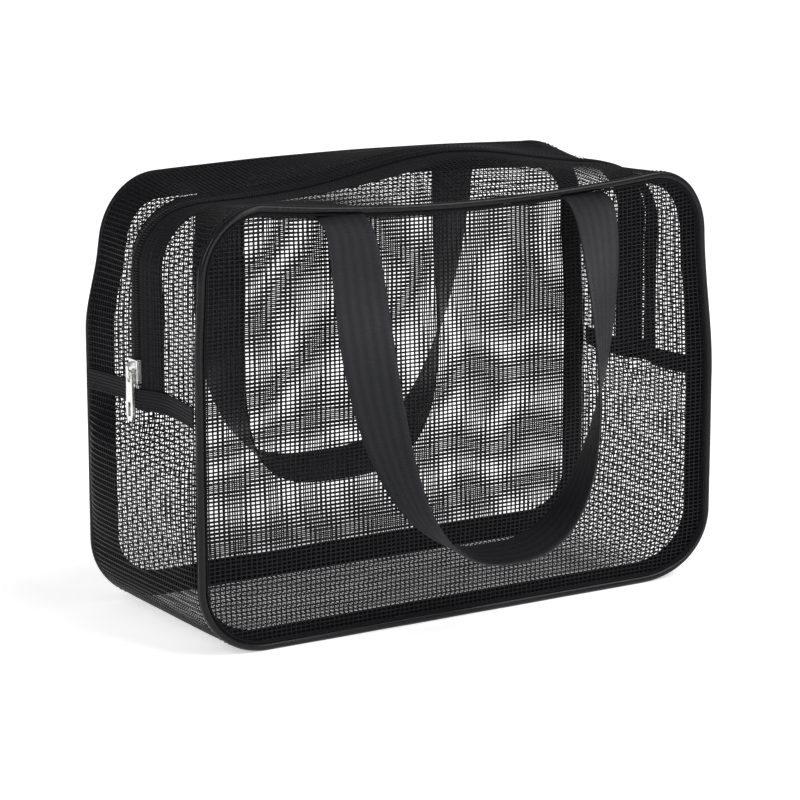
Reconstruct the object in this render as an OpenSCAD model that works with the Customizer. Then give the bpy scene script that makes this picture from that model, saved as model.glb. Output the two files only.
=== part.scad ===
// Box-shaped mesh beach bag with a zip over the top and two webbing handles.
// Z is up, the front faces -Y, the origin is the middle of the underside.

/* [Bag shell] */
// width of the front and back panels
bag_w = 300; // [280:1:320]
// distance from the front face to the back face
bag_d = 118; // [105:1:130]
// height of the front and back panels
bag_h = 223; // [205:1:240]
// radius of the rounded panel corners
corner_r = 36; // [28:1:45]
// how far the top edge of the front panel sinks under its handle
front_sag = 8; // [0:0.5:12]
// how far the top edge of the back panel rises
back_rise = 3.5; // [0:0.5:6]
// how far the zip line stands out of each side above the end bands
side_swell = 4.4; // [2:0.1:7]
// how far each side stands out below the end bands
low_swell = 10; // [5:0.5:12]
// how far the net sinks in beside the ridge under the zip
side_sink = 2; // [0:0.5:4]
// how far the left edge of the front panel bows out
front_left_bow = 1.9; // [0:0.1:4]
// how far the left edge of the back panel bows out
back_left_bow = 4.2; // [0:0.1:6]
// how far the upper end of that edge is drawn in
back_left_tuck = 3.9; // [0:0.1:5]
// how far the right edge of the front panel bows out
front_right_bow = 7; // [0:0.1:8]
// how far the right edge of the back panel bows out
back_right_bow = 3; // [0:0.1:6]
// how far the zip line dips near the two ends of the top
top_dip = 6.5; // [0:0.5:9]
// how far the zip line rises in the middle of the top
top_hump = 8.5; // [0:0.5:12]

/* [Sheets and trim] */
// thickness of the coated net
net_t = 1; // [0.8:0.1:1.6]
// radius of the piping
pipe_r = 2; // [1.6:0.1:2.4]
// width of the bound seam allowance that stands inside each seam
binding_w = 10; // [7:0.5:13]
// angle from the front panel to its bound seam allowance
front_fin = 75; // [0:5:80]
// angle from the back panel to its bound seam allowance
back_fin = 8; // [0:1:80]
// thickness of the bound seam allowance
binding_t = 1.4; // [0.8:0.1:2]
// height of the ribbed end bands
band_h = 10; // [8:0.5:13]
// thickness of the ribbed end bands
band_t = 1.2; // [0.8:0.1:1.8]
// height of the left end band above the floor
left_band_z = 121.5; // [110:0.5:130]
// height of the right end band above the floor
right_band_z = 111; // [100:0.5:125]

/* [Zip] */
// half width of the closed zip, tapes and all
tape_half_w = 17.2; // [14:0.2:19]
// thickness of the zip tape
tape_t = 0.8; // [0.6:0.1:1]
// gap from the middle of the zip to each coil
coil_gap = 0.6; // [0.5:0.1:0.8]
// width of one coil
coil_w = 2.6; // [2.2:0.1:3]
// height of a coil over the tape
coil_h = 2; // [1.6:0.1:2.4]
// length of the slider body
slider_l = 12; // [10:0.5:14]
// width of the slider body
slider_w = 9; // [8.4:0.1:10]
// thickness of each slider plate
plate_t = 1; // [0.8:0.1:1.4]
// length of the puller
puller_l = 26; // [22:0.5:32]
// width of the puller
puller_w = 7.4; // [5:0.1:8]

/* [Handles] */
// width of the handle webbing
strap_w = 26.4; // [24:0.2:32]
// thickness of the handle webbing
strap_t = 1.6; // [1.2:0.1:2.2]
// distance from the middle of the bag to each handle end
leg_x = 71.8; // [65:0.2:90]
// height of the front stubs where the webbing leaves its seam
front_seam_z = 211.6; // [195:0.2:220]
// height of the back stubs where the webbing leaves its seam
back_seam_z = 219; // [195:0.2:224]
// height the hanging loops reach down
loop_drop = 170; // [150:1:190]
// gap between the bag and the top of each loop
near_gap = 6; // [5:0.5:9]
// gap between the bag and the middle of the front loop
front_far_gap = 34; // [18:0.5:38]
// gap between the bag and the middle of the back loop
back_far_gap = 26; // [18:0.5:38]
// twist of the webbing at the bottom of the front loop
front_twist = 98; // [90:1:130]
// twist of the webbing at the bottom of the back loop
back_twist = 115; // [90:1:130]
// how far the back loop hangs to the right of its ends
back_drift = 4.5; // [0:0.5:8]

/* [Hidden] */
half_w = bag_w / 2;
half_d = bag_d / 2;
// the seam between piping and gusset, measured from the middle of the depth
edge_y = half_d - 2 * pipe_r + 0.2;
side_top_z = bag_h - corner_r;
flat_x = half_w - corner_r;
// station counts along the seam
side_steps = 7;
corner_steps = 8;
top_steps = 22;
low_steps = 8;
base_steps = 10;
// least gap between parts that move against each other
run_gap = 0.3;
// small step that keeps neighbouring surfaces from sharing volume
hair = 0.1;
handle_steps = 40;
// half width of the flat strip that the slider runs on
ridge_flat = 5;
// height where the panel edges start to bow out, and how far down they take to do it
bow_top_z = 194;
left_bow_run = 48;
right_bow_run = 85;
// how sharply the ridge under the zip falls away
ridge_power = 7;
// play between a bound seam allowance and its panel and piping
fin_gap = 0.4;
pivot_r = 0.7;

// ---- shape of the shell ----

function smooth(k) = let (c = min(1, max(0, k))) c * c * (3 - 2 * c);

// height of the zip line over or under the flat top
function top_wave(x) = (top_hump + top_dip) * exp(-pow((x - 25) / 68, 2)) - top_dip;

function front_edge(x) = -front_sag * max(0, 1 - pow((x - 12) / 128, 2));

function back_edge(x) = back_rise * max(0, 1 - pow((x + 20) / 130, 2));

// t runs from -1 at the front seam to 1 at the back seam
function top_swell(x, t) = let (
        mid = top_wave(x),
        lean = (back_edge(x) - front_edge(x)) / 2,
        ends = (back_edge(x) + front_edge(x)) / 2)
    mid + lean * t + (ends - mid) * pow(abs(t), 1.6);

// share of the way from the flat strip under the slider to the seam
function past_flat(t) = sign(t) * max(0, abs(t) * edge_y - ridge_flat) / (edge_y - ridge_flat);

// the zip stands on a ridge with a flat top just wider than the slider
function ridge(u) = pow(1 - abs(u), ridge_power);

function band_z(nx) = nx < 0 ? left_band_z : right_band_z;

// bow of the front and back panel edges at one side
function side_bow(z, nx) = let (q = smooth((bow_top_z - z) / (nx < 0 ? left_bow_run : right_bow_run)))
    nx < 0
    ? [front_left_bow * q, (back_left_bow + back_left_tuck) * q - back_left_tuck]
    : [front_right_bow * q, back_right_bow * q];

function side_shape(z, t, nx) = let (
        bow = side_bow(z, nx),
        mean = (bow[0] + bow[1]) / 2,
        u = past_flat(t),
        below = band_z(nx) - band_h / 2 - z,
        k = smooth(below / 25),
        span = band_z(nx) - band_h / 2 - corner_r,
        low = side_swell + (low_swell - side_swell) * sin(180 * min(1, max(0, below / span))))
    mean + u * (bow[1] - bow[0]) / 2
    + (1 - k) * ((side_swell + side_sink) * ridge(u) - (mean + side_sink) * (1 - u * u))
    + k * (low - mean) * (1 - pow(abs(u), 5));

// how far the skin stands out of the plain rounded box
function swell(st, t) = let (c = min(1, max(-1, t)))
    st[2] * st[2] * side_shape(st[1], c, st[2])
    + (st[3] > 0 ? st[3] * st[3] * top_swell(st[0], c) : 0);

// a point on the skin at a station, a depth y and a distance off the surface
function skin(st, y, off) = let (d = swell(st, y / edge_y) + off)
    [st[0] + st[2] * d, y, st[1] + st[3] * d];

// ---- stations on the seam: x, z and the outward direction ----

function arc_station(cx, cz, a) =
    [cx + corner_r * cos(a), cz + corner_r * sin(a), cos(a), sin(a)];

function left_side(z0, z1, n) =
    [for (i = [0:n]) [-half_w, z0 + (z1 - z0) * i / n, -1, 0]];

function right_side(z0, z1, n) =
    [for (i = [0:n]) [half_w, z0 + (z1 - z0) * i / n, 1, 0]];

function corner_run(cx, cz, a0, a1) =
    [for (i = [1:corner_steps - 1])
        arc_station(cx, cz, a0 + (a1 - a0) * i / corner_steps)];

function top_run() =
    [for (i = [0:top_steps]) [-flat_x + 2 * flat_x * i / top_steps, bag_h, 0, 1]];

function base_run() =
    [for (i = [0:base_steps]) [flat_x - 2 * flat_x * i / base_steps, 0, 0, -1]];

// from the left end over the top to the right end
function over_top(z_left, z_right) = concat(
    left_side(z_left, side_top_z, side_steps),
    corner_run(-flat_x, side_top_z, 180, 90),
    top_run(),
    corner_run(flat_x, side_top_z, 90, 0),
    right_side(side_top_z, z_right, side_steps));

// from the right end under the base to the left end
function under_base(z_right, z_left) = concat(
    right_side(z_right, corner_r, low_steps),
    corner_run(flat_x, corner_r, 0, -90),
    base_run(),
    corner_run(-flat_x, corner_r, 270, 180),
    left_side(corner_r, z_left, low_steps));

// the same run with one more station at each end, beside the end bands
function gusset_run() = concat(
    [[half_w, right_band_z - hair, 1, 0]],
    under_base(right_band_z - band_h / 2, left_band_z - band_h / 2),
    [[-half_w, left_band_z - hair, -1, 0]]);

function all_round() = concat(
    over_top(left_band_z, right_band_z),
    under_base(right_band_z - band_h, left_band_z - band_h));

// ---- solids made from rings of points ----

function lofted_faces(rings, k) =
    [for (i = [0:rings - 2], j = [0:k - 1])
        let (a = i * k + j, b = i * k + (j + 1) % k, c = b + k, d = a + k)
        each [[a, b, c], [a, c, d]]];

// both ends closed across rings that pair point j with point k-1-j
function end_faces(rings, k) = let (last = (rings - 1) * k)
    [for (j = [0:k / 2 - 2])
        each [
            [j, k - 1 - j, k - 2 - j],
            [j, k - 2 - j, j + 1],
            [last + j, last + k - 2 - j, last + k - 1 - j],
            [last + j, last + j + 1, last + k - 2 - j]]];

module lofted(rings) {
    k = len(rings[0]);
    polyhedron(
        points = [for (ring = rings) each ring],
        faces = concat(lofted_faces(len(rings), k), end_faces(len(rings), k)));
}

module hoop(rings) {
    k = len(rings[0]);
    n = len(rings);
    polyhedron(
        points = [for (ring = rings) each ring],
        faces = [for (i = [0:n - 1], j = [0:k - 1])
            let (a = i * k + j, b = i * k + (j + 1) % k)
            let (c = ((i + 1) % n) * k + (j + 1) % k, d = ((i + 1) % n) * k + j)
            each [[a, b, c], [a, c, d]]]);
}

// one ring of a sheet: outer points in order, then inner points back again
function strip_ring(st, rows, off_in, off_out) = let (n = len(rows) - 1)
    concat(
        [for (y = rows) skin(st, y, off_out)],
        [for (i = [0:n]) skin(st, rows[n - i], off_in)]);

module strip(stations, rows, off_in, off_out) {
    lofted([for (st = stations) strip_ring(st, rows, off_in, off_out)]);
}

// ---- flat panels ----

function outline(inset, t) =
    [for (st = all_round()) let (d = swell(st, t) - inset)
        [st[0] + st[2] * d, st[1] + st[3] * d]];

module flat_sheet(inset, t, y, thick) {
    translate([0, y + thick / 2, 0])
        rotate([90, 0, 0])
            linear_extrude(thick)
                polygon(outline(inset, t));
}

module front_panel() {
    color([0.05, 0.05, 0.055])
        flat_sheet(2 * pipe_r, -1, -half_d + pipe_r, net_t);
}

module back_panel() {
    color([0.05, 0.05, 0.055])
        flat_sheet(2 * pipe_r, 1, half_d - pipe_r, net_t);
}

// ---- bound seam allowances ----

// one cross-section of the back seam allowance, leaning by an angle off its panel
function fin_ring(st, side, lean) = let (
        d = swell(st, side) - 2 * pipe_r - fin_gap,
        depth = half_d - pipe_r - (net_t + binding_t) / 2 - fin_gap / 8,
        half = binding_t / 2)
    [for (p = [[0, half], [binding_w, half], [binding_w, -half], [0, -half]])
        let (r = d - p[0] * cos(lean) - p[1] * sin(lean))
        [st[0] + st[2] * r, side * (depth - p[0] * sin(lean) + p[1] * cos(lean)),
         st[1] + st[3] * r]];

function backwards(ring) = [for (i = [len(ring) - 1:-1:0]) ring[i]];

module front_binding() {
    color([0.03, 0.03, 0.032])
        hoop([for (st = all_round()) backwards(fin_ring(st, -1, front_fin))]);
}

module back_binding() {
    color([0.03, 0.03, 0.032])
        hoop([for (st = all_round()) fin_ring(st, 1, back_fin)]);
}

// ---- piping ----

function pipe_ring(st, t, y) = let (d = swell(st, t) - pipe_r)
    [for (a = [0:45:315])
        let (r = d + pipe_r * cos(a))
        [st[0] + st[2] * r, y + pipe_r * sin(a), st[1] + st[3] * r]];

module front_piping() {
    color([0.02, 0.02, 0.022])
        hoop([for (st = all_round()) pipe_ring(st, -1, -half_d + pipe_r)]);
}

module back_piping() {
    color([0.02, 0.02, 0.022])
        hoop([for (st = all_round()) pipe_ring(st, 1, half_d - pipe_r)]);
}

// ---- gusset ----

// depths of the mesh points from the zip tape to the seam
function gusset_rows(side) = side < 0
    ? [-edge_y, -52, -45, -36, -27, -tape_half_w - 3, -tape_half_w]
    : [tape_half_w, tape_half_w + 3, 27, 36, 45, 52, edge_y];

// depths of the mesh points from seam to seam
function full_rows() = [-edge_y, -52, -45, -34, -20, -10, -ridge_flat,
    ridge_flat, 10, 20, 34, 45, 52, edge_y];

// depths of the mesh points across one zip tape
function tape_rows(side) = side < 0
    ? [-tape_half_w - 3, -tape_half_w, -10, -ridge_flat, -coil_gap]
    : [coil_gap, ridge_flat, 10, tape_half_w, tape_half_w + 3];

function zip_stations() = over_top(left_band_z + hair, right_band_z + hair);

module upper_gusset_front() {
    color([0.05, 0.05, 0.055])
        strip(zip_stations(), gusset_rows(-1), -net_t, 0);
}

module upper_gusset_back() {
    color([0.05, 0.05, 0.055])
        strip(zip_stations(), gusset_rows(1), -net_t, 0);
}

module lower_gusset() {
    color([0.05, 0.05, 0.055])
        strip(gusset_run(),
            full_rows(), -net_t, 0);
}

module left_end_band() {
    color([0.03, 0.03, 0.032])
        strip(left_side(left_band_z - band_h / 2, left_band_z + band_h / 2, 4),
            full_rows(), hair, band_t);
}

module right_end_band() {
    color([0.03, 0.03, 0.032])
        strip(right_side(right_band_z + band_h / 2, right_band_z - band_h / 2, 4),
            full_rows(), hair, band_t);
}

// ---- zip ----

module zip_tape_front() {
    color([0.035, 0.035, 0.04])
        strip(zip_stations(), tape_rows(-1), -net_t - tape_t, -net_t);
}

module zip_tape_back() {
    color([0.035, 0.035, 0.04])
        strip(zip_stations(), tape_rows(1), -net_t - tape_t, -net_t);
}

// the coils stop short of the end bands and their stops
function coil_stations() = over_top(
    left_band_z + band_h / 2 + 2.5, right_band_z + band_h / 2 + 2.5);

module zip_coil_front() {
    color([0.05, 0.05, 0.055])
        strip(coil_stations(), [-coil_gap - coil_w, -coil_gap], hair - net_t, coil_h - net_t);
}

module zip_coil_back() {
    color([0.05, 0.05, 0.055])
        strip(coil_stations(), [coil_gap, coil_gap + coil_w], hair - net_t, coil_h - net_t);
}

// two small clamps beside the left end band
module zip_top_stops() {
    z0 = left_band_z + band_h / 2 + 0.3;
    color([0.6, 0.6, 0.62]) {
        strip(left_side(z0, z0 + 1.8, 1),
            [-coil_gap - coil_w, -coil_gap], hair - net_t, coil_h - net_t);
        strip(left_side(z0, z0 + 1.8, 1),
            [coil_gap, coil_gap + coil_w], hair - net_t, coil_h - net_t);
    }
}

// one clamp across both coils beside the right end band
module zip_bottom_stop() {
    z0 = right_band_z + band_h / 2 + 0.3;
    color([0.6, 0.6, 0.62])
        strip(right_side(z0 + 1.8, z0, 1),
            [-coil_gap - coil_w, 0, coil_gap + coil_w], hair - net_t, coil_h - net_t);
}

// ---- slider and puller, placed against the left side ----

// x of the skin beside the slider
skin_x = -half_w - side_swell;
// height of the slider's middle when the zip is closed
slider_z = left_band_z + band_h / 2 + 3 + slider_l / 2;
tape_face = skin_x + net_t;
top_plate_x = tape_face - coil_h - run_gap - plate_t;
low_plate_x = tape_face + tape_t + run_gap;
bridge_h = 3.4;
bridge_t = 1;
hinge_x = top_plate_x - bridge_h + bridge_t + pivot_r + hair;
hinge_z = slider_z;

module slider_plate(x) {
    translate([x, 0, slider_z - slider_l / 2])
        linear_extrude(slider_l)
            translate([0, -slider_w / 2])
                square([plate_t, slider_w]);
}

module slider_body() {
    flange = slider_w / 2 - coil_gap - coil_w - run_gap;
    reach = coil_h - run_gap;
    color([0.72, 0.72, 0.74])
        union() {
            slider_plate(top_plate_x);
            slider_plate(low_plate_x);
            for (side = [-1, 1])
                translate([top_plate_x + plate_t, side * (slider_w - flange) / 2, slider_z])
                    translate([reach / 2, 0, 0])
                        cube([reach, flange, slider_l], center = true);
            // post between the plates, at the end that leads when the zip opens
            translate([top_plate_x + plate_t / 2, -run_gap, slider_z + slider_l / 2 - 2.5])
                cube([low_plate_x - top_plate_x, 2 * run_gap, 2.5]);
            // bridge for the puller
            translate([top_plate_x, 0, slider_z])
                rotate([90, 0, 0])
                    translate([0, 0, -1.1])
                        linear_extrude(2.2)
                            polygon([[0, -4.6], [0, -3], [-bridge_h + bridge_t, -2.2],
                                [-bridge_h + bridge_t, 2.2], [0, 3], [0, 4.6],
                                [-1.4, 4.6], [-bridge_h, 3], [-bridge_h, -3], [-1.4, -4.6]]);
        }
}

// the puller hangs from a cross bar that passes through the bridge
module puller() {
    arm_gap = 3;
    slot_l = 5.4;
    thick = 1.2;
    half = puller_w / 2;
    neck = half - 0.8;
    tip = 1 - puller_l;
    color([0.72, 0.72, 0.74])
        translate([hinge_x, 0, hinge_z])
            union() {
                rotate([90, 0, 0])
                    cylinder(h = 2 * neck, r = pivot_r, center = true, $fn = 24);
                difference() {
                    translate([-thick / 2, 0, 0])
                        rotate([90, 0, 90])
                            linear_extrude(thick)
                                polygon([[-neck, 0], [-half, tip + 3.5], [-half + 1.6, tip],
                                    [half - 1.6, tip], [half, tip + 3.5], [neck, 0]]);
                    translate([-thick, -arm_gap / 2, -slot_l])
                        cube([2 * thick, arm_gap, slot_l + 1]);
                    translate([-thick, -1.3, tip + 2.4])
                        cube([2 * thick, 2.6, 7]);
                }
            }
}

// ---- handles ----

// each loop: roundness, gap to its middle, lean power, twist, twist power, drift
front_loop = [0.785, front_far_gap, 0.62, front_twist, 1.08, 0];
back_loop = [0.6, back_far_gap, 1, back_twist, 1.4, back_drift];

// share of the way down the loop at angle a, from -90 at one end to 90 at the other
function loop_fall(loop, a) = pow(max(0, cos(a)), loop[0]);

// middle of the webbing: across, out from the bag, and down from the loop's ends
function loop_mid(loop, a) = let (h = loop_fall(loop, a))
    [leg_x * sign(a) * pow(abs(sin(a)), loop[0]) + loop[5] * pow(h, 0.7),
     half_d + near_gap + strap_t / 2 + (loop[1] - near_gap) * pow(h, loop[2]),
     -loop_drop * h];

function sided(p, side) = [p[0], side * p[1], p[2]];

function unit(v) = v / norm(v);

function loop_dir(loop, side, a) =
    unit(sided(loop_mid(loop, min(90, a + 0.5)) - loop_mid(loop, max(-90, a - 0.5)), side));

// both loops turn their inner edge towards the front as they hang
function loop_ring(loop, side, a) = let (
        along = loop_dir(loop, side, a),
        twist = loop[3] * pow(loop_fall(loop, a), loop[4]),
        inward = [-along[2], 0, along[0]],
        raw = cos(twist) * unit(inward) + [0, -sin(twist), 0],
        wide = unit(raw - (raw * along) * along) * strap_w / 2,
        thick = unit(cross(along, wide)) * strap_t / 2,
        mid = sided(loop_mid(loop, a), side))
    [mid + wide + thick, mid - wide + thick, mid - wide - thick, mid + wide - thick];

// steps grow finer near the ends, where the loop falls fastest
function loop_angle(i) = let (k = 2 * i / handle_steps - 1)
    90 * sign(k) * (1 - pow(1 - abs(k), 1.25));

module loop_solid(loop, side) {
    lofted([for (i = [0:handle_steps]) loop_ring(loop, side, loop_angle(i))]);
}

// the two short stubs of webbing that come straight out of a seam
module stub_pair() {
    stub_l = near_gap + pipe_r - net_t / 2 - 0.7;
    for (side = [-1, 1])
        translate([side * leg_x, -half_d + pipe_r - net_t / 2 - stub_l / 2, 0])
            cube([strap_w, stub_l, strap_t], center = true);
}

module front_stubs() {
    color([0.12, 0.12, 0.13])
        translate([0, 0, front_seam_z])
            stub_pair();
}

module back_stubs() {
    color([0.12, 0.12, 0.13])
        translate([0, 0, back_seam_z])
            mirror([0, 1, 0])
                stub_pair();
}

module front_handle() {
    color([0.12, 0.12, 0.13])
        translate([0, 0, front_seam_z])
            loop_solid(front_loop, -1);
}

module back_handle() {
    color([0.12, 0.12, 0.13])
        translate([0, 0, back_seam_z])
            loop_solid(back_loop, 1);
}

// ---- nodes ----

front_panel();
back_panel();
upper_gusset_front();
upper_gusset_back();
lower_gusset();
front_piping();
back_piping();
front_binding();
back_binding();
left_end_band();
right_end_band();
zip_tape_front();
zip_tape_back();
zip_coil_front();
zip_coil_back();
zip_top_stops();
zip_bottom_stop();
slider_body();
puller();
front_stubs();
back_stubs();
front_handle();
back_handle();
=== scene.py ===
import bpy
import bmesh
import math
from mathutils import Matrix, Vector, noise


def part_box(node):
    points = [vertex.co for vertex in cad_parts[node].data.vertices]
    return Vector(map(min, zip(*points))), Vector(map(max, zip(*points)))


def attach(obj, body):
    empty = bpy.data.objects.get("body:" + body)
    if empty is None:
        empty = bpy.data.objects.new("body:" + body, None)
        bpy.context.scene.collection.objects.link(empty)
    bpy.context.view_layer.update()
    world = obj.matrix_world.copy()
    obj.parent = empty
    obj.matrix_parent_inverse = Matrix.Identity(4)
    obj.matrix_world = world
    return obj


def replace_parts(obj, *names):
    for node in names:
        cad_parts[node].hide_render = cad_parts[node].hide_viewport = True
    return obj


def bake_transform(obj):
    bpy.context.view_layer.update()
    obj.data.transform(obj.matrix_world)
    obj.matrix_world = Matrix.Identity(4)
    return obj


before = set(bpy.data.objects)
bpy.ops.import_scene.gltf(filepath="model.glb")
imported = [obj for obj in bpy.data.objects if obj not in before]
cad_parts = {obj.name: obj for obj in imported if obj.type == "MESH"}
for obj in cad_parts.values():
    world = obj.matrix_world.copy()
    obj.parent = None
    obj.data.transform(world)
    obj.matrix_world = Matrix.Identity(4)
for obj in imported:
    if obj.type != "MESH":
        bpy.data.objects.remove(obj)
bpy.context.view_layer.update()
mm = 0.001

# camera
cameraSetup = dict(
    place=(-0.8342, -1.3533, 0.4635),
    target=(-0.0014, 0.0009, 0.1021),
    lens=140.8,
)


def addCamera(setup):
    data = bpy.data.cameras.new("bagCamera")
    data.lens = setup["lens"]
    data.sensor_width = 36
    data.clip_start = 0.05
    data.clip_end = 20
    camera = bpy.data.objects.new("bagCamera", data)
    place = Vector(setup["place"])
    camera.location = place
    camera.rotation_euler = (Vector(setup["target"]) - place).to_track_quat("-Z", "Y").to_euler()
    bpy.context.scene.collection.objects.link(camera)
    bpy.context.scene.camera = camera


addCamera(cameraSetup)
print("camera ready")


# ---- shader helpers: one wrapped socket, one recipe per finish
class Wire:
    def __init__(self, recipe, socket):
        self.recipe = recipe
        self.socket = socket

    def __add__(self, other):
        return self.recipe.sum("ADD", self, other)

    def __radd__(self, other):
        return self.recipe.sum("ADD", other, self)

    def __sub__(self, other):
        return self.recipe.sum("SUBTRACT", self, other)

    def __rsub__(self, other):
        return self.recipe.sum("SUBTRACT", other, self)

    def __mul__(self, other):
        return self.recipe.sum("MULTIPLY", self, other)

    def __rmul__(self, other):
        return self.recipe.sum("MULTIPLY", other, self)


class Recipe:
    def __init__(self, name):
        self.material = bpy.data.materials.new(name)
        self.material.use_nodes = True
        self.tree = self.material.node_tree
        self.tree.nodes.clear()
        self.output = self.tree.nodes.new("ShaderNodeOutputMaterial")
        self.surface = self.tree.nodes.new("ShaderNodeBsdfPrincipled")
        self.tree.links.new(self.surface.outputs[0], self.output.inputs[0])

    def node(self, kind, settings=None, outlet=0, **sockets):
        made = self.tree.nodes.new(kind)
        for key, value in (settings or {}).items():
            setattr(made, key, value)
        for key, value in sockets.items():
            numbered = key[0] == "i" and key[1:].isdigit()
            self.feed(made.inputs[int(key[1:]) if numbered else key.replace("_", " ")], value)
        return Wire(self, made.outputs[outlet])

    def feed(self, socket, value):
        if isinstance(value, Wire):
            self.tree.links.new(value.socket, socket)
        else:
            socket.default_value = value

    def sum(self, operation, a, b):
        return self.node("ShaderNodeMath", dict(operation=operation), i0=a, i1=b)

    def stripes(self, axis, pitch):
        wave = self.node("ShaderNodeMath", dict(operation="SINE"), i0=axis * (2 * math.pi / pitch))
        return wave * 0.5 + 0.5

    def cloud(self, size, detail=2.0, roughness=0.5):
        place = self.node("ShaderNodeTexCoord", outlet=3)
        return self.node("ShaderNodeTexNoise", Vector=place, Scale=size, Detail=detail, Roughness=roughness)

    def weaveAxes(self):
        uv = self.node("ShaderNodeUVMap", dict(uv_map="weave"))
        along = self.node("ShaderNodeSeparateXYZ", Vector=uv)
        return along, Wire(self, along.socket.node.outputs[1])

    def blendColour(self, factor, a, b):
        return self.node("ShaderNodeMix", dict(data_type="RGBA"), 2, i0=factor, i6=a, i7=b)

    def bump(self, height, strength, distance):
        return self.node("ShaderNodeBump", Height=height, Strength=strength, Distance=distance)

    def finish(self, **sockets):
        for key, value in sockets.items():
            self.feed(self.surface.inputs[key.replace("_", " ")], value)
        return self.material


def rgb(r, g, b):
    return (r, g, b, 1)


# coated net: nearly black, a soft sheen that wanders a little
netLook = dict(dark=rgb(0.002, 0.002, 0.003), light=rgb(0.006, 0.006, 0.008), roughness=0.2, wander=0.2,
               shine=0.16, cloud=38.0, grain=900.0, grainDepth=0.0003)


def makeNetFinish(look):
    r = Recipe("coatedNet")
    cloud = r.cloud(look["cloud"], 3.0, 0.6)
    grain = r.cloud(look["grain"])
    return r.finish(Base_Color=r.blendColour(cloud, look["dark"], look["light"]),
                    Roughness=cloud * look["wander"] + look["roughness"], Specular_IOR_Level=look["shine"],
                    Normal=r.bump(grain, 0.35, look["grainDepth"]))


# vinyl piping: glossy with faint creases
pipingLook = dict(colour=rgb(0.002, 0.002, 0.003), dust=rgb(0.006, 0.006, 0.007), roughness=0.17,
                  wander=0.22, shine=0.18, crease=260.0, patch=45.0, creaseDepth=0.0006)


def makePipingFinish(look):
    r = Recipe("pipingVinyl")
    crease = r.cloud(look["crease"], 3.0, 0.55)
    patch = r.cloud(look["patch"])
    return r.finish(Base_Color=r.blendColour(patch, look["colour"], look["dust"]),
                    Roughness=patch * look["wander"] + look["roughness"], Specular_IOR_Level=look["shine"],
                    Normal=r.bump(crease, 0.25, look["creaseDepth"]))


# woven tapes and ribbons: ribs run across the tape, fine threads along it; the colour follows the bump
# height, a painted highlight on the rib tops and painted shade in the grooves, over a random fuzz tone
def makeTapeFinish(name, look):
    r = Recipe(name)
    along, across = r.weaveAxes()
    ribs = r.stripes(along, look["rib"])
    lines = r.stripes(across, look["line"])
    fuzz = r.cloud(420.0, 3.0, 0.7)
    height = ribs * look["ribDepth"] + lines * look["lineDepth"] + fuzz * 0.4
    # painted shade and highlight: grooves darker, rib tops lighter, plus a random fuzz tone
    paintedReliefShadeAndFuzz = height * 0.5 + fuzz * 0.3
    return r.finish(Base_Color=r.blendColour(paintedReliefShadeAndFuzz, look["dark"], look["light"]),
                    Roughness=fuzz * 0.25 + look["roughness"], Specular_IOR_Level=look["shine"],
                    Normal=r.bump(height, 0.6, 0.0004))


# in these tape looks, dark is the painted shade in the grooves and light the painted highlight on the rib
# tops
bindingLook = dict(rib=1.1, line=0.9, ribDepth=0.5, lineDepth=0.3, roughness=0.6, shine=0.1,
                   dark=rgb(0.002, 0.002, 0.003), light=rgb(0.007, 0.007, 0.008))
bandLook = dict(rib=0.9, line=1.6, ribDepth=0.35, lineDepth=0.7, roughness=0.5, shine=0.14,
                dark=rgb(0.003, 0.003, 0.004), light=rgb(0.014, 0.014, 0.016))
zipTapeLook = dict(rib=1.3, line=1.35, ribDepth=0.45, lineDepth=0.7, roughness=0.5, shine=0.12,
                   dark=rgb(0.002, 0.002, 0.003), light=rgb(0.009, 0.009, 0.01))

# handle webbing: broad satin stripes along it with a fine twill between; the stripes carry a painted sheen
# and the twill ridges a painted highlight in the colour, over a random fuzz tone
webbingLook = dict(stripe=5.2, twill=0.62, slant=1.4, pick=1.25, roughness=0.36, shine=0.22,
                   dark=rgb(0.004, 0.004, 0.005), light=rgb(0.014, 0.0145, 0.017))


def makeWebbingFinish(look):
    r = Recipe("handleWebbing")
    along, across = r.weaveAxes()
    stripe = r.stripes(across, look["stripe"])
    twill = r.stripes(along + across * look["slant"], look["twill"])
    picks = r.stripes(along, look["pick"])
    fuzz = r.cloud(500.0, 3.0, 0.7)
    height = twill * 0.45 + picks * 0.35 + stripe * 0.5 + fuzz * 0.25
    # painted sheen on the satin stripes and painted highlight on the twill ridges, plus a random fuzz tone
    paintedReliefShadeAndFuzz = stripe * 0.45 + twill * 0.3 + fuzz * 0.3
    return r.finish(Base_Color=r.blendColour(paintedReliefShadeAndFuzz, look["dark"], look["light"]),
                    Roughness=look["roughness"] + fuzz * 0.2 - stripe * 0.08,
                    Specular_IOR_Level=look["shine"], Normal=r.bump(height, 0.55, 0.00035))


# sewing thread and nylon coil: the fibres catch a lighter tint
def makeThreadFinish(name, colour, roughness):
    r = Recipe(name)
    fibre = r.cloud(1400.0)
    lit = rgb(colour[0] * 2.4, colour[1] * 2.4, colour[2] * 2.5)
    return r.finish(Base_Color=r.blendColour(fibre, colour, lit), Roughness=fibre * 0.2 + roughness,
                    Specular_IOR_Level=0.2, Normal=r.bump(fibre, 0.3, 0.0002))


# nickel plated zip hardware
metalLook = dict(colour=rgb(0.8, 0.8, 0.79), worn=rgb(0.62, 0.62, 0.61), roughness=0.2, wander=0.18,
                 cloud=320.0, scratch=1500.0, scratchDepth=0.0002)


def makeMetalFinish(look):
    r = Recipe("nickelPlate")
    cloud = r.cloud(look["cloud"], 3.0)
    scratch = r.cloud(look["scratch"], 4.0, 0.7)
    return r.finish(Base_Color=r.blendColour(cloud, look["colour"], look["worn"]), Metallic=1.0,
                    Roughness=cloud * look["wander"] + look["roughness"],
                    Normal=r.bump(scratch, 0.12, look["scratchDepth"]))


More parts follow.
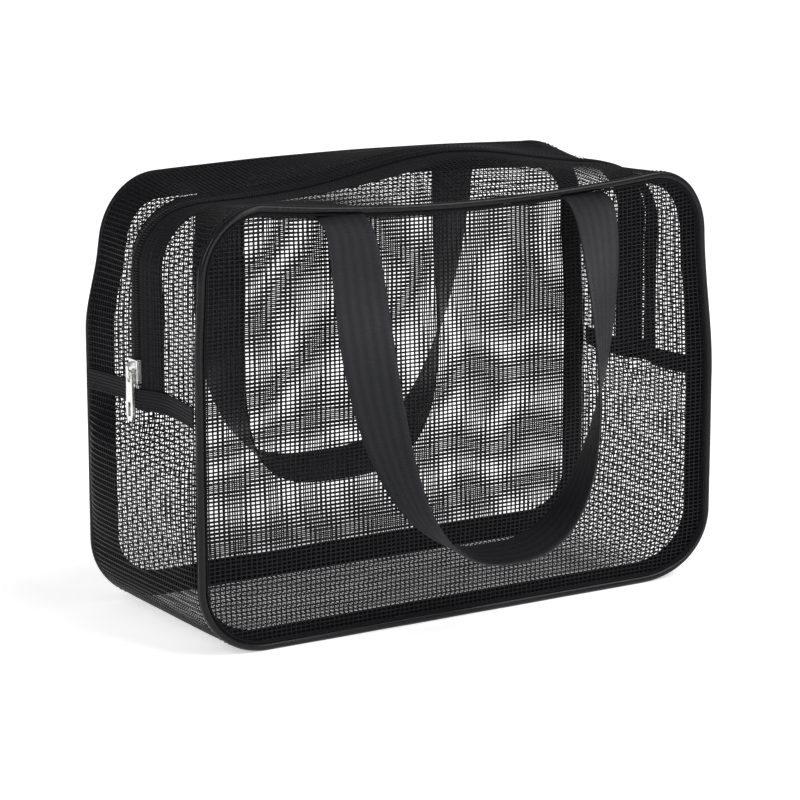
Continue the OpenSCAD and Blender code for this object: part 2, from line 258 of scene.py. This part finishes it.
netFinish = makeNetFinish(netLook)
pipingFinish = makePipingFinish(pipingLook)
bindingFinish = makeTapeFinish("seamBinding", bindingLook)
bandFinish = makeTapeFinish("endBandRibbon", bandLook)
zipTapeFinish = makeTapeFinish("zipTapeWeave", zipTapeLook)
webbingFinish = makeWebbingFinish(webbingLook)
threadFinish = makeThreadFinish("sewingThread", rgb(0.008, 0.008, 0.009), 0.5)
coilFinish = makeThreadFinish("nylonCoil", rgb(0.005, 0.005, 0.006), 0.34)
metalFinish = makeMetalFinish(metalLook)
print("finishes ready")

# ---- the bag's shape, in millimetres, the same rules as the solids
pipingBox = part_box("front_piping")
shell = dict(
    halfWidth=150.0,
    halfDepth=-pipingBox[0][1] / mm,
    height=223.0,
    corner=36.0,
    pipe=2.0,
    frontSag=8.0,
    backRise=3.5,
    topDip=6.5,
    topHump=8.5,
    sideSwell=4.4,
    lowSwell=10.0,
    ridgeFlat=5.0,
    ridgePower=7,
    sideSink=2.0,
    frontBow=(1.9, 7.0),
    backBow=(4.2, 3.0),
    backTuck=(3.9, 0.0),
    bowTop=194.0,
    bowRun=(48.0, 85.0),
    leftBand=121.5,
    rightBand=111.0,
    bandHeight=10.0,
    tapeHalf=17.2,
)
halfWidth = shell["halfWidth"]
halfDepth = shell["halfDepth"]
height = shell["height"]
corner = shell["corner"]
flatX = halfWidth - corner
sideTop = height - corner
edgeY = halfDepth - 2 * shell["pipe"] + 0.2


def easeIn(k):
    c = min(1.0, max(0.0, k))
    return c * c * (3 - 2 * c)


def topWave(x):
    return (shell["topHump"] + shell["topDip"]) * math.exp(-((x - 25) / 68) ** 2) - shell["topDip"]


def frontEdge(x):
    return -shell["frontSag"] * max(0.0, 1 - ((x - 12) / 128) ** 2)


def backEdge(x):
    return shell["backRise"] * max(0.0, 1 - ((x + 20) / 130) ** 2)


def topSwell(x, t):
    mid = topWave(x)
    lean = (backEdge(x) - frontEdge(x)) / 2
    ends = (backEdge(x) + frontEdge(x)) / 2
    return mid + lean * t + (ends - mid) * abs(t) ** 1.6


def pastFlat(t):
    flat = shell["ridgeFlat"]
    return math.copysign(max(0.0, abs(t) * edgeY - flat) / (edgeY - flat), t)


def ridge(u):
    return (1 - abs(u)) ** shell["ridgePower"]


def sideBow(z, nx):
    end = 0 if nx < 0 else 1
    q = easeIn((shell["bowTop"] - z) / shell["bowRun"][end])
    tuck = shell["backTuck"][end]
    return shell["frontBow"][end] * q, (shell["backBow"][end] + tuck) * q - tuck


def sideShape(z, t, nx):
    front, back = sideBow(z, nx)
    mean = (front + back) / 2
    u = pastFlat(t)
    bandZ = shell["leftBand"] if nx < 0 else shell["rightBand"]
    below = bandZ - shell["bandHeight"] / 2 - z
    k = easeIn(below / 25)
    span = bandZ - shell["bandHeight"] / 2 - corner
    low = shell["sideSwell"] + (shell["lowSwell"] - shell["sideSwell"]) * math.sin(
        math.pi * min(1.0, max(0.0, below / span)))
    sink = shell["sideSink"]
    upper = (shell["sideSwell"] + sink) * ridge(u) - (mean + sink) * (1 - u * u)
    lower = (low - mean) * (1 - abs(u) ** 5)
    return mean + u * (back - front) / 2 + (1 - k) * upper + k * lower


def swell(station, t):
    x, z, nx, nz = station
    c = min(1.0, max(-1.0, t))
    out = nx * nx * sideShape(z, c, nx)
    if nz > 0:
        out += nz * nz * topSwell(x, c)
    return out


def outFrom(station, y, distance):
    x, z, nx, nz = station
    return Vector((x + nx * distance, y, z + nz * distance))


def skin(station, y, off):
    return outFrom(station, y, swell(station, y / edgeY) + off)


def arcStation(cx, cz, degrees):
    c = math.cos(math.radians(degrees))
    s = math.sin(math.radians(degrees))
    return (cx + corner * c, cz + corner * s, c, s)


arcLength = corner * math.pi / 2


def overTop(leftZ, rightZ):
    return [
        (sideTop - leftZ, lambda k: (-halfWidth, leftZ + (sideTop - leftZ) * k, -1.0, 0.0)),
        (arcLength, lambda k: arcStation(-flatX, sideTop, 180 - 90 * k)),
        (2 * flatX, lambda k: (-flatX + 2 * flatX * k, height, 0.0, 1.0)),
        (arcLength, lambda k: arcStation(flatX, sideTop, 90 - 90 * k)),
        (sideTop - rightZ, lambda k: (halfWidth, sideTop + (rightZ - sideTop) * k, 1.0, 0.0)),
    ]


def underBase(rightZ, leftZ):
    return [
        (rightZ - corner, lambda k: (halfWidth, rightZ + (corner - rightZ) * k, 1.0, 0.0)),
        (arcLength, lambda k: arcStation(flatX, corner, -90 * k)),
        (2 * flatX, lambda k: (flatX - 2 * flatX * k, 0.0, 0.0, -1.0)),
        (arcLength, lambda k: arcStation(-flatX, corner, 270 - 90 * k)),
        (leftZ - corner, lambda k: (-halfWidth, corner + (leftZ - corner) * k, -1.0, 0.0)),
    ]


def routeLength(route):
    return sum(length for length, place in route)


def stationAt(route, distance):
    left = min(max(distance, 0.0), routeLength(route))
    for length, place in route:
        if left <= length:
            return place(left / length)
        left -= length
    return route[-1][1](1.0)


zipRoute = overTop(shell["leftBand"], shell["rightBand"])
baseRoute = underBase(shell["rightBand"], shell["leftBand"])
wholeSeam = zipRoute + baseRoute


# ---- piece helpers
weld = 0.00002


def newPiece(name, bm, finish, body, smooth=True):
    mesh = bpy.data.meshes.new(name)
    for face in bm.faces:
        face.smooth = smooth
    bm.to_mesh(mesh)
    bm.free()
    mesh.materials.append(finish)
    piece = bpy.data.objects.new(name, mesh)
    bpy.context.scene.collection.objects.link(piece)
    if body:
        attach(piece, body)
    return piece


def gridOf(columns, rows, place, uvSize):
    bm = bmesh.new()
    uv = bm.loops.layers.uv.new("weave")
    bmesh.ops.create_grid(bm, x_segments=columns, y_segments=rows, size=0.5)
    for face in bm.faces:
        for loop in face.loops:
            co = loop.vert.co
            loop[uv].uv = ((co.x + 0.5) * uvSize[0], (co.y + 0.5) * uvSize[1])
    for vert in bm.verts:
        vert.co = place(vert.co.x + 0.5, vert.co.y + 0.5) * mm
    return bm


def closeUp(bm):
    bmesh.ops.remove_doubles(bm, verts=bm.verts[:], dist=weld)
    bmesh.ops.recalc_face_normals(bm, faces=bm.faces[:])


def tapePiece(name, columns, rows, place, thick, uvSize, finish, loop=False):
    bm = gridOf(columns, rows, place, uvSize)
    if loop:
        bmesh.ops.remove_doubles(bm, verts=bm.verts[:], dist=weld)
    bmesh.ops.recalc_face_normals(bm, faces=bm.faces[:])
    bmesh.ops.solidify(bm, geom=bm.faces[:], thickness=thick * mm)
    bmesh.ops.recalc_face_normals(bm, faces=bm.faces[:])
    return newPiece(name, bm, finish, "bag_shell")


# ---- nets: a flat lattice of coated threads, laid over the skin thread by thread
net = dict(along=2.75, across=2.07, thread=0.8, width=0.6, flatness=0.45, ripple=0.9, rippleSize=60.0)


def ripple(point, seed):
    spot = point / net["rippleSize"]
    return net["ripple"] * noise.noise(spot + Vector((seed, 3.1 * seed, -seed)))


def lattice(columns, rows, size, keep=None):
    bm = bmesh.new()
    bmesh.ops.create_grid(bm, x_segments=columns, y_segments=rows, size=0.5)
    for vert in bm.verts:
        vert.co = Vector(((vert.co.x + 0.5) * size[0], (vert.co.y + 0.5) * size[1], 0.0))
    if keep:
        outside = [face for face in bm.faces if not keep(face.calc_center_median())]
        bmesh.ops.delete(bm, geom=outside, context="FACES")
    bmesh.ops.wireframe(bm, faces=bm.faces[:], thickness=net["thread"], offset=0.0, use_replace=True,
                        use_boundary=True, use_even_offset=True, use_relative_offset=False)
    return bm


def netPiece(name, bm, place):
    for vert in bm.verts:
        vert.co = place(vert.co.x, vert.co.y, vert.co.z * net["flatness"]) * mm
    bmesh.ops.recalc_face_normals(bm, faces=bm.faces[:])
    piece = newPiece(name, bm, netFinish, "bag_shell")
    print(name, "thread faces:", len(piece.data.polygons))
    return piece


def insideOutline(x, z, inset):
    dx = max(0.0, abs(x) - flatX)
    dz = max(0.0, max(corner - z, z - sideTop))
    if dx > 0 and dz > 0:
        return math.hypot(dx, dz) < corner - inset
    return dx < corner - inset and dz < corner - inset


panel = dict(inset=3.2, rim=8, rise=30, puff=1.2, ripple=1.6, wander=0.7)


def panelNet(name, side):
    edge = frontEdge if side < 0 else backEdge
    inset = panel["inset"]
    wide = 2 * (halfWidth - inset)
    tall = height - 2 * inset

    def inPanel(middle):
        return insideOutline(middle.x - wide / 2, middle.y + inset, inset)

    def place(along, up, lift):
        x = along - wide / 2
        z = up + inset
        away = easeIn((min(halfWidth - abs(x), z, height - z) - panel["rim"]) / panel["rise"])
        bend = min(1.0, max(0.0, z - sideTop, corner - z) / corner)
        bow = sideBow(z, x)[0 if side < 0 else 1] * (1 - bend * bend) * (abs(x) / halfWidth) ** 4
        x += bow if x > 0 else -bow
        waves = ripple(Vector((x, side * 50, z)), 7 + side)
        puff = panel["puff"] * away + panel["ripple"] * away * waves
        slide = panel["wander"] * away * noise.noise(Vector((x / 38, z / 38, side * 3.0)))
        drop = panel["wander"] * away * noise.noise(Vector((z / 34, x / 34, side * 9.0)))
        y = side * (halfDepth - shell["pipe"] + puff + lift)
        return Vector((x + slide, y, z + edge(x) * (z / height) ** 3 + drop))

    bm = lattice(round(wide / net["along"]), round(tall / net["across"]), (wide, tall), inPanel)
    return netPiece(name, bm, place)


hemY = 7.0


def gussetNet(name, route, y0, y1, seed):
    span = routeLength(route)

    def place(along, over, lift):
        y = y0 + over
        station = stationAt(route, along)
        fade = easeIn((edgeY - abs(y)) / 14) * easeIn(min(along, span - along) / 12)
        if route is zipRoute:
            fade *= easeIn((abs(y) - hemY) / 12)
        if station[3] < -0.3:
            fade = 0.0
        swing = ripple(skin(station, y, 0), seed) * fade * 0.9
        return skin(station, y, -0.5 + lift + swing)

    bm = lattice(round(span / net["along"]), round((y1 - y0) / net["across"]), (span, y1 - y0))
    return netPiece(name, bm, place)


frontNet = panelNet("frontPanelNet", -1)
backNet = panelNet("backPanelNet", 1)
upperFrontNet = gussetNet("upperGussetFrontNet", zipRoute, -edgeY, -hemY, 2.0)
upperBackNet = gussetNet("upperGussetBackNet", zipRoute, hemY, edgeY, 5.0)
lowerNet = gussetNet("lowerGussetNet", baseRoute, -edgeY, edgeY, 8.0)
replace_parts(frontNet, "front_panel")
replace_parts(backNet, "back_panel")
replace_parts(upperFrontNet, "upper_gusset_front")
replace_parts(upperBackNet, "upper_gusset_back")
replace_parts(lowerNet, "lower_gusset")
print("nets ready")


# ---- piping: a round vinyl tube along the whole seam
def pipingPiece(name, side, node):
    span = routeLength(wholeSeam)
    radius = shell["pipe"]

    def place(u, v):
        station = stationAt(wholeSeam, (u % 1.0) * span)
        lift = swell(station, side)
        angle = 2 * math.pi * (v % 1.0)
        lump = 1 + 0.02 * math.sin(u * span / 9.0) + 0.015 * noise.noise(Vector((u * span / 6, side, 0)))
        y = side * (halfDepth - radius) + radius * lump * math.sin(angle)
        return outFrom(station, y, lift - radius + radius * lump * math.cos(angle))

    bm = gridOf(480, 14, place, (span, 2 * math.pi * radius))
    closeUp(bm)
    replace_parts(newPiece(name, bm, pipingFinish, "bag_shell"), node)


pipingPiece("frontPipingCord", -1, "front_piping")
pipingPiece("backPipingCord", 1, "back_piping")


# ---- bound seam allowances that stand inside each seam
binding = dict(width=10.0, root=2.6, thick=1.1, front=75, back=8, gap=0.4)


def bindingPiece(name, side, node):
    span = routeLength(wholeSeam)
    lean = math.radians(binding["front"] if side < 0 else binding["back"])
    root = halfDepth - shell["pipe"] - 1.25

    def place(u, v):
        station = stationAt(wholeSeam, (u % 1.0) * span)
        lift = swell(station, side)
        reach = (binding["width"] + binding["root"]) * v - binding["root"]
        wave = 0.35 * math.sin(u * span / 14.0) * v
        y = side * (root - reach * math.sin(lean) - wave * math.cos(lean))
        return outFrom(station, y, lift - 2 * shell["pipe"] - binding["gap"] - reach * math.cos(lean))

    piece = tapePiece(name, 380, 6, place, binding["thick"], (span, binding["width"]), bindingFinish,
                      loop=True)
    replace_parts(piece, node)


bindingPiece("frontSeamBinding", -1, "front_binding")
bindingPiece("backSeamBinding", 1, "back_binding")


# ---- ribbed end bands over the gusset joins
def bandPiece(name, sideX, node):
    bandZ = shell["leftBand"] if sideX < 0 else shell["rightBand"]
    tall = shell["bandHeight"]

    def place(u, v):
        y = -edgeY + 2 * edgeY * u
        z = bandZ - tall / 2 + tall * v
        station = (sideX * halfWidth, z, float(sideX), 0.0)
        rib = 0.12 * math.sin(v * tall * 2 * math.pi / 1.65)
        return skin(station, y, 1.0 + rib)

    piece = tapePiece(name, 90, 36, place, 0.8, (2 * edgeY, tall), bandFinish)
    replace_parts(piece, node)


bandPiece("leftEndBandRibbon", -1, "left_end_band")
bandPiece("rightEndBandRibbon", 1, "right_end_band")
print("piping, binding and bands ready")


# ---- zip tapes
def zipTapePiece(name, side, node):
    route = overTop(shell["leftBand"] + 0.2, shell["rightBand"] + 0.2)
    span = routeLength(route)
    y0 = 0.7
    y1 = shell["tapeHalf"]

    def place(u, v):
        y = side * (y0 + (y1 - y0) * v)
        cord = 0.25 * math.exp(-((y1 * v - 4.4) / 0.5) ** 2)
        return skin(stationAt(route, u * span), y, -1.1 + cord)

    piece = tapePiece(name, 300, 14, place, 0.6, (span, y1 - y0), zipTapeFinish)
    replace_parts(piece, node)


zipTapePiece("frontZipTape", -1, "zip_tape_front")
zipTapePiece("backZipTape", 1, "zip_tape_back")


# ---- small parts laid along a route
def frameOn(route, distance, y, off):
    here = skin(stationAt(route, distance), y, off)
    ahead = skin(stationAt(route, distance + 0.6), y, off)
    behind = skin(stationAt(route, distance - 0.6), y, off)
    station = stationAt(route, distance)
    along = (ahead - behind).normalized()
    out = Vector((station[2], 0, station[3]))
    out = (out - along * out.dot(along)).normalized()
    side = out.cross(along)
    turn = Matrix((along, side, out)).transposed().to_4x4()
    return Matrix.Translation(here * mm) @ turn


def beadRow(name, frames, size, finish, around=6, rings=4):
    bm = bmesh.new()
    shape = Matrix.Diagonal((size[0] * mm, size[1] * mm, size[2] * mm, 1))
    for place in frames:
        bmesh.ops.create_uvsphere(bm, u_segments=around, v_segments=rings, radius=1.0, matrix=place @ shape)
    return newPiece(name, bm, finish, "bag_shell")


coil = dict(pitch=1.36, reach=1.55, thick=0.44, tall=0.95, middle=1.85, sink=0.15)


def coilPiece(name, side, node):
    span = routeLength(zipRoute)
    start = shell["bandHeight"] / 2 + 2.8
    frames = []
    distance = start + (0 if side < 0 else coil["pitch"] / 2)
    while distance < span - start:
        frames.append(frameOn(zipRoute, distance, side * coil["middle"], -coil["sink"]))
        distance += coil["pitch"]
    piece = beadRow(name, frames, (coil["thick"], coil["reach"], coil["tall"]), coilFinish,
                    around=8, rings=5)
    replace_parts(piece, node)


coilPiece("frontZipTeeth", -1, "zip_coil_front")
coilPiece("backZipTeeth", 1, "zip_coil_back")
print("zip ready")


# ---- stitches
stitch = dict(pitch=2.8, length=0.95, thick=0.22, tall=0.2)


def stitchFrames(route, y, margin=2.0):
    span = routeLength(route)
    frames = []
    distance = margin
    while distance < span - margin:
        frames.append(frameOn(route, distance, y, 0.0))
        distance += stitch["pitch"]
    return frames


def stitchRow(name, frames):
    size = (stitch["length"], stitch["thick"], stitch["tall"])
    beadRow(name, frames, size, threadFinish)


for side, word in ((-1, "front"), (1, "back")):
    stitchRow(word + "SeamStitchTop", stitchFrames(zipRoute, side * (edgeY - 1.4)))
    stitchRow(word + "SeamStitchLow", stitchFrames(baseRoute, side * (edgeY - 1.4)))
    stitchRow(word + "ZipStitchInner", stitchFrames(zipRoute, side * (hemY + 0.6), 8))
    stitchRow(word + "ZipStitchOuter", stitchFrames(zipRoute, side * (shell["tapeHalf"] - 1.2), 8))


def bandStitches(name, sideX):
    bandZ = shell["leftBand"] if sideX < 0 else shell["rightBand"]
    frames = []
    for z in (bandZ - 3.9, bandZ + 3.9):
        y = -edgeY + 2.5
        while y < edgeY - 2:
            station = (sideX * halfWidth, z, float(sideX), 0.0)
            if abs(y) > 4.6:
                turn = Matrix(((0, 0, sideX), (1, 0, 0), (0, 1, 0))).to_4x4()
                frames.append(Matrix.Translation(skin(station, y, 1.12) * mm) @ turn)
            y += stitch["pitch"]
    stitchRow(name, frames)


bandStitches("leftBandStitches", -1)
bandStitches("rightBandStitches", 1)
print("stitches ready")

# ---- handles: one ribbon of webbing from seam to seam
webbing = dict(width=26.4, thick=1.6, legX=71.8, drop=170.0, near=6.0, steps=150, stripes=5, rib=0.045)
frontLoop = dict(round=0.785, far=34.0, lean=0.62, twist=98, twistPower=1.08, drift=0.0, side=-1, seam=211.6,
                 edge=frontEdge, node="front_handle", stubs="front_stubs", body="front_loop")
backLoop = dict(round=0.6, far=26.0, lean=1.0, twist=115, twistPower=1.4, drift=4.5, side=1, seam=219.0,
                edge=backEdge, node="back_handle", stubs="back_stubs", body="back_loop")


def loopPoint(loop, a):
    s = math.sin(math.radians(a))
    h = max(0.0, math.cos(math.radians(a))) ** loop["round"]
    x = webbing["legX"] * math.copysign(abs(s) ** loop["round"], s) + loop["drift"] * h ** 0.7
    hang = (loop["far"] - webbing["near"]) * h ** loop["lean"]
    y = halfDepth + webbing["near"] + webbing["thick"] / 2 + hang
    return Vector((x, loop["side"] * y, loop["seam"] - webbing["drop"] * h)), h


def handlePath(loop):
    points = []
    falls = []
    for i in range(webbing["steps"] + 1):
        k = 2 * i / webbing["steps"] - 1
        point, h = loopPoint(loop, 90 * math.copysign(1 - (1 - abs(k)) ** 1.25, k))
        points.append(point)
        falls.append(h)
    for end in (0, -1):
        foot = points[end]
        top = height + loop["edge"](foot.x) - 2 * shell["pipe"] - webbing["thick"] / 2 - 0.2
        lead = [
            Vector((foot.x, loop["side"] * (halfDepth - shell["pipe"] + 0.3), top + 0.3)),
            Vector((foot.x, loop["side"] * (halfDepth + 0.2), top - 0.1)),
            Vector((foot.x, loop["side"] * (halfDepth + 2.2), top - 1.0)),
            Vector((foot.x, foot.y - loop["side"] * 2.6, (top + foot.z) / 2 - 0.8)),
        ]
        if end == 0:
            points = lead + points
            falls = [0.0] * 4 + falls
        else:
            points = points + lead[::-1]
            falls = falls + [0.0] * 4
    for k in range(9):
        soft = points[:]
        for i in range(1, len(points) - 1):
            if falls[i] < 0.12:
                soft[i] = points[i] * 0.5 + (points[i - 1] + points[i + 1]) * 0.25
        points = soft
    return points, falls


def handlePiece(name, loop):
    points, falls = handlePath(loop)
    count = len(points) - 1
    frames = []
    travel = [0.0]
    for i in range(count + 1):
        along = (points[min(count, i + 1)] - points[max(0, i - 1)]).normalized()
        twist = math.radians(loop["twist"] * falls[i] ** loop["twistPower"])
        inward = Vector((-along.z, 0, along.x))
        if falls[i] < 0.002:
            inward = Vector((1 if points[i].x < 0 else -1, 0, 0))
        inward = inward.normalized() * math.cos(twist) + Vector((0, -math.sin(twist), 0))
        wide = (inward - along * inward.dot(along)).normalized()
        frames.append((points[i], wide, along.cross(wide).normalized()))
        if i:
            travel.append(travel[-1] + (points[i] - points[i - 1]).length)
    half = webbing["width"] / 2
    thick = webbing["thick"] / 2
    around = 44

    def acrossAt(v):
        c = math.cos(2 * math.pi * v)
        return half * math.copysign(abs(c) ** 0.62, c)

    def place(u, v):
        i = round(u * count)
        middle, wide, out = frames[i]
        s = math.sin(2 * math.pi * (v % 1.0))
        across = acrossAt(v % 1.0)
        rib = webbing["rib"] * math.cos(across / half * math.pi * webbing["stripes"])
        edgeFade = 1 - abs(across / half) ** 8
        lift = (thick + rib * edgeFade) * math.copysign(abs(s) ** 0.35, s)
        cup = 0.3 * falls[i] * (across / half) ** 2
        return middle + wide * across + out * (lift + cup)

    bm = gridOf(count, around, place, (1.0, 1.0))
    uv = bm.loops.layers.uv["weave"]
    for face in bm.faces:
        for loopEnd in face.loops:
            k = loopEnd[uv].uv
            loopEnd[uv].uv = (travel[round(k.x * count)], acrossAt(k.y))
    bmesh.ops.remove_doubles(bm, verts=bm.verts[:], dist=0.00001)
    bmesh.ops.holes_fill(bm, edges=[e for e in bm.edges if e.is_boundary], sides=0)
    bmesh.ops.recalc_face_normals(bm, faces=bm.faces[:])
    piece = newPiece(name, bm, webbingFinish, None)
    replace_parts(piece, loop["node"], loop["stubs"])
    loop["side"] * (halfDepth - 0.4) * mm
    loop["side"] * (halfDepth + webbing["near"] + 3.4) * mm
    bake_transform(piece)
    print(name, "webbing length", round(travel[-1]), "mm")
    return piece, travel[-1]


frontHandle, frontLength = handlePiece("frontHandleWebbing", frontLoop)
backHandle, backLength = handlePiece("backHandleWebbing", backLoop)
print("handles ready")


# ---- hardware: each solid is copied, its corners are rounded, and it is plated
def platedPiece(name, node, body, edge):
    bm = bmesh.new()
    bm.from_mesh(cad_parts[node].data)
    bmesh.ops.remove_doubles(bm, verts=bm.verts[:], dist=0.00001)
    bmesh.ops.dissolve_limit(bm, angle_limit=math.radians(4), verts=bm.verts[:], edges=bm.edges[:])
    sharp = [e for e in bm.edges if e.is_manifold and e.calc_face_angle() > math.radians(40)]
    bmesh.ops.bevel(bm, geom=sharp, offset=edge * mm, offset_type="OFFSET", segments=2, profile=0.5,
                    affect="EDGES", clamp_overlap=True, material=-1)
    bmesh.ops.triangulate(bm, faces=bm.faces[:])
    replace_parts(newPiece(name, bm, metalFinish, body, smooth=False), node)


platedPiece("sliderBodyPlated", "slider_body", "zip_slider", 0.25)
platedPiece("pullerPlated", "puller", "zip_puller", 0.22)
platedPiece("zipTopStopsPlated", "zip_top_stops", "bag_shell", 0.2)
platedPiece("zipBottomStopPlated", "zip_bottom_stop", "bag_shell", 0.2)
print("hardware ready")

# ---- nets: the thread area is the cut's area times the share the threads cover, not the flat area of the cut; it is computed here and not used
threadShare = 1 - (1 - net["width"] / net["along"]) * (1 - net["width"] / net["across"])
for piece, cut, cutArea, cord in (
        (frontNet, (0.292, 0.219), 0.0625, "front_piping"),
        (backNet, (0.292, 0.222), 0.0635, "back_piping"),
        (upperFrontNet, (0.466, 0.048), 0.466 * 0.048, "front_piping"),
        (upperBackNet, (0.466, 0.048), 0.466 * 0.048, "back_piping"),
        (lowerNet, (0.502, 0.110), 0.502 * 0.110, "front_piping")):
    cutArea * threadShare
frontLength * mm
backLength * mm

# ---- floor and light
stageSetup = dict(floor=12.0, glow=0.5, sky=0.3, sun=2.0, sunTurn=(38, 8, 30), sunSize=40)


def addFloor(size, glow):
    r = Recipe("paleFloor")
    colour = r.blendColour(r.cloud(3.0), rgb(0.9, 0.9, 0.9), rgb(0.93, 0.93, 0.93))
    finish = r.finish(Base_Color=colour, Roughness=0.9, Emission_Color=rgb(1, 1, 1), Emission_Strength=glow)
    bm = bmesh.new()
    bmesh.ops.create_grid(bm, x_segments=1, y_segments=1, size=size)
    mesh = bpy.data.meshes.new("studioFloor")
    bm.to_mesh(mesh)
    bm.free()
    mesh.materials.append(finish)
    floor = bpy.data.objects.new("studioFloor", mesh)
    bpy.context.scene.collection.objects.link(floor)


def addSky(strength):
    world = bpy.data.worlds.new("studioSky")
    world.use_nodes = True
    sky = world.node_tree.nodes["Background"]
    sky.inputs[0].default_value = (1, 1, 1, 1)
    sky.inputs[1].default_value = strength
    bpy.context.scene.world = world
    bpy.context.scene.view_settings.view_transform = "Standard"


def addSun(strength, turn, size):
    data = bpy.data.lights.new("softSun", "SUN")
    data.energy = strength
    data.angle = math.radians(size)
    sun = bpy.data.objects.new("softSun", data)
    sun.rotation_euler = [math.radians(a) for a in turn]
    bpy.context.scene.collection.objects.link(sun)


def addLamp(name, place, target, size, power):
    data = bpy.data.lights.new(name, "AREA")
    data.shape = "RECTANGLE"
    data.size = size[0]
    data.size_y = size[1]
    data.energy = power
    lamp = bpy.data.objects.new(name, data)
    spot = Vector(place)
    lamp.location = spot
    lamp.rotation_euler = (Vector(target) - spot).to_track_quat("-Z", "Y").to_euler()
    bpy.context.scene.collection.objects.link(lamp)


addFloor(stageSetup["floor"], stageSetup["glow"])
addSky(stageSetup["sky"])
addSun(stageSetup["sun"], stageSetup["sunTurn"], stageSetup["sunSize"])
addLamp("leftSoftbox", (-1.3, -0.5, 0.9), (0, 0, 0.12), (0.35, 0.9), 9)
addLamp("frontStrip", (0.45, -1.6, 0.5), (0, 0, 0.12), (0.15, 1.4), 10)
print("stage ready")
